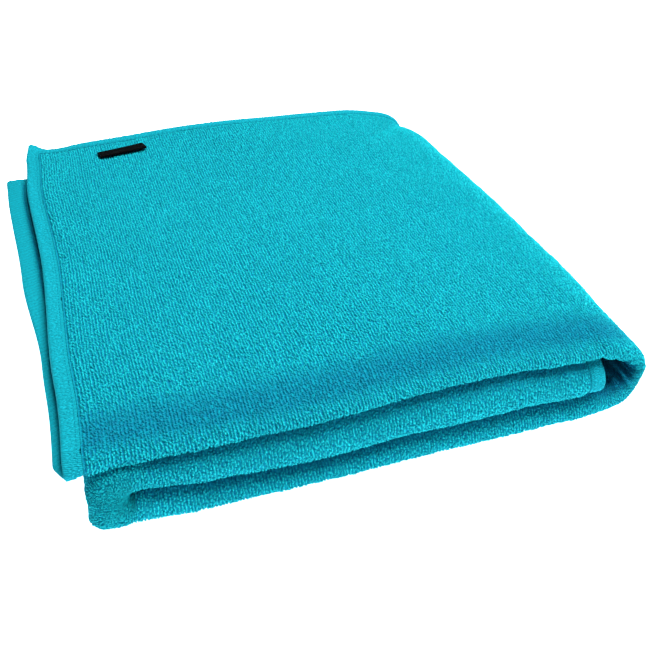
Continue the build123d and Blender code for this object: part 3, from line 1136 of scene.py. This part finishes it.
def ribbon_piece(name, strip, sizes, material, reaches, lifts, thick):
    """Ribbon with rounded corners: an upper and a lower face over (aside, reach), closed at the rim."""
    side = np.linspace(-1, 1, 61)[:, None]
    reach = np.linspace(reaches[0], reaches[1], 21)[None, :]
    corner = min(1.3 * MM, (reaches[1] - reaches[0]) / 2)
    from_end = np.clip(np.minimum(reach - reaches[0], reaches[1] - reach) / corner, 0, 1)
    half_width = sizes.label_width / 2 - corner * (1 - np.sqrt(from_end * (2 - from_end)))
    share = (reach - reaches[0]) / (reaches[1] - reaches[0])
    lift = lifts[0] + (lifts[1] - lifts[0]) * share ** 1.5 + 0.35 * MM * (1 - side ** 2) * share
    edge = np.minimum(1 - np.abs(side), np.minimum(share, 1 - share) * 0.4) * 14
    bulge = 0.35 + 0.65 * np.sqrt(np.clip(edge, 0, 1))
    aside = side * half_width
    upper = label_place(strip, aside, reach, lift + thick * (0.5 + bulge / 2))
    lower = label_place(strip, aside, reach, lift + thick * (0.5 - bulge / 2))
    points = np.concatenate([upper, lower[:, ::-1]], 1)
    rows, columns = points.shape[:2]
    faces = np.concatenate([grid_faces(rows, columns, wrap=True), end_caps(rows, columns)])
    u = np.concatenate([aside + 0 * reach, (aside + 0 * reach)[:, ::-1]], 1)
    v = np.concatenate([reach + 0 * side, (reach + 0 * side)[:, ::-1] + 2 * sizes.label_length], 1)
    return new_piece(name, points, faces, material, np.stack([u, v], -1))


class TOWEL_OT_label(bpy.types.Operator):
    """Makes the ribbon label, its sewn margin and the stitches that hold it"""

    bl_idname = "towel.label"
    bl_label = "Label"

    def execute(self, context):
        sizes, colours = towel()
        strip = Strip(sizes)
        ribbon = material_once("label_ribbon", lambda: label_material(colours))
        margin = 1.8 * MM
        label = ribbon_piece("label_ribbon", strip, sizes, ribbon, (0, sizes.label_length),
                             (0.7 * MM, 1.6 * MM), 1.1 * MM)
        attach(label, "label")
        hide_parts("label")
        sewn = ribbon_piece("label_margin", strip, sizes, ribbon, (-margin, -0.05 * MM),
                            (0.3 * MM, 0.5 * MM), 0.9 * MM)
        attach(sewn, "flap")
        thread = material_once("label_sewing", lambda: thread_material("label_sewing", colours.label))
        run = np.linspace(0.5 * MM, sizes.label_width - 0.5 * MM, 161) - sizes.label_width / 2
        lift = 1.05 * MM + 0.35 * MM * np.abs(np.sin(run * math.pi / (2.4 * MM)))
        path = label_place(strip, run, np.full_like(run, -margin / 2), lift)
        out = np.broadcast_to([0.0, 0.0, 1.0], path.shape)
        side = np.cross(out, np.gradient(path, axis=0))
        side /= np.linalg.norm(side, axis=1, keepdims=True)
        points, faces = tube(path, side, out, sizes.thread_radius)
        uv = np.stack(np.broadcast_arrays(run[:, None], np.arange(6)[None, :] / 6), -1)
        stitching = new_piece("label_stitches", points, faces, thread, uv)
        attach(stitching, "flap")
        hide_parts("label_stitching")
        return {"FINISHED"}


class TOWEL_OT_declare(bpy.types.Operator):
    bl_idname = "towel.declare"
    bl_label = "Cloth facts"

    def execute(self, context):
        sizes, colours = towel()
        strip = Strip(sizes)
        meet = meeting_place(strip, sizes)
        inside = sizes.hem_width
        width = float(strip.edge(strip.length, True) - strip.edge(strip.length, False)) - 2 * inside
        for part, length in (("bundle", meet - inside), ("cover", strip.length - meet - inside)):
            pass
        print("cloth unfolds to", round(width + 2 * inside, 3), "by", round(strip.length, 3))
        return {"FINISHED"}


# ---------------------------------------------------------------- stage

class TOWEL_OT_stage(bpy.types.Operator):
    """Makes the floor, the softbox, the surroundings' light and the camera"""

    bl_idname = "towel.stage"
    bl_label = "Stage"

    def execute(self, context):
        colours, stage = context.scene.towel_colours, context.scene.towel_stage
        half = 8.0
        points = np.array([[-half, -half, 0], [half, -half, 0], [half, half, 0], [-half, half, 0]], float)
        floor = new_piece("studio_floor", points, np.array([[0, 1, 2, 3]]), floor_material(colours.floor))

        def softbox(name, place, aim, size, power):
            light = bpy.data.lights.new(name, "AREA")
            light.shape = "RECTANGLE"
            light.size, light.size_y = size
            light.energy = power
            lamp = bpy.data.objects.new(name, light)
            context.scene.collection.objects.link(lamp)
            lamp.location = place
            away = np.array(place) - np.array(aim)
            lamp.rotation_euler = Euler((math.acos(away[2] / np.linalg.norm(away)), 0,
                                         math.atan2(away[1], away[0]) + math.pi / 2))

        softbox("key", (0.33, -0.10, 1.00), (0, 0, 0.02), (0.7, 0.7), stage.key)
        world = bpy.data.worlds.new("studio_air")
        world.use_nodes = True
        tree = world.node_tree
        air = tree.nodes["Background"]
        air.inputs["Color"].default_value = (0.50, 0.78, 1.0, 1)
        air.inputs["Strength"].default_value = 0.07
        backdrop = tree.nodes.new("ShaderNodeBackground")
        backdrop.inputs["Color"].default_value = opaque(colours.floor)
        backdrop.inputs["Strength"].default_value = 1.3
        seen = tree.nodes.new("ShaderNodeLightPath")
        both = tree.nodes.new("ShaderNodeMixShader")
        tree.links.new(seen.outputs["Is Camera Ray"], both.inputs["Fac"])
        tree.links.new(air.outputs["Background"], both.inputs[1])
        tree.links.new(backdrop.outputs["Background"], both.inputs[2])
        tree.links.new(both.outputs["Shader"], tree.nodes["World Output"].inputs["Surface"])
        context.scene.world = world
        context.scene.view_settings.view_transform = "Standard"
        camera = bpy.data.cameras.new("camera")
        camera.lens = stage.lens
        camera.sensor_width = 36.0
        eye = bpy.data.objects.new("camera", camera)
        context.scene.collection.objects.link(eye)
        eye.location = stage.camera
        eye.rotation_euler = (Euler((0, 0, stage.azimuth)).to_matrix()
                              @ Euler((math.pi / 2 - stage.pitch, 0, 0)).to_matrix()
                              @ Euler((0, 0, stage.roll)).to_matrix()).to_euler()
        context.scene.camera = eye
        return {"FINISHED"}


class TOWEL_PT_panel(bpy.types.Panel):
    """Sidebar panel with the towel's sizes, colours and steps"""

    bl_idname = "TOWEL_PT_panel"
    bl_label = "Towel"
    bl_space_type = "VIEW_3D"
    bl_region_type = "UI"
    bl_category = "Towel"

    def draw(self, context):
        for group in (context.scene.towel_sizes, context.scene.towel_colours, context.scene.towel_stage):
            box = self.layout.box()
            for key in group.__annotations__:
                box.prop(group, key)
        for step in STEPS:
            self.layout.operator(step.bl_idname)


STEPS = (TOWEL_OT_stage, TOWEL_OT_cloth, TOWEL_OT_pile, TOWEL_OT_hems, TOWEL_OT_seams,
         TOWEL_OT_label, TOWEL_OT_declare)
CLASSES = (TowelSizes, TowelColours, TowelStage) + STEPS + (TOWEL_PT_panel,)


def register():
    for cls in CLASSES:
        bpy.utils.register_class(cls)
    bpy.types.Scene.towel_sizes = PointerProperty(type=TowelSizes)
    bpy.types.Scene.towel_colours = PointerProperty(type=TowelColours)
    bpy.types.Scene.towel_stage = PointerProperty(type=TowelStage)


def unregister():
    del bpy.types.Scene.towel_stage
    del bpy.types.Scene.towel_colours
    del bpy.types.Scene.towel_sizes
    for cls in reversed(CLASSES):
        bpy.utils.unregister_class(cls)


def main():
    register()
    bpy.ops.towel.stage()
    bpy.ops.towel.cloth()
    bpy.ops.towel.pile()
    bpy.ops.towel.hems()
    bpy.ops.towel.seams()
    bpy.ops.towel.label()
    bpy.ops.towel.declare()


if __name__ == "__main__":
    main()
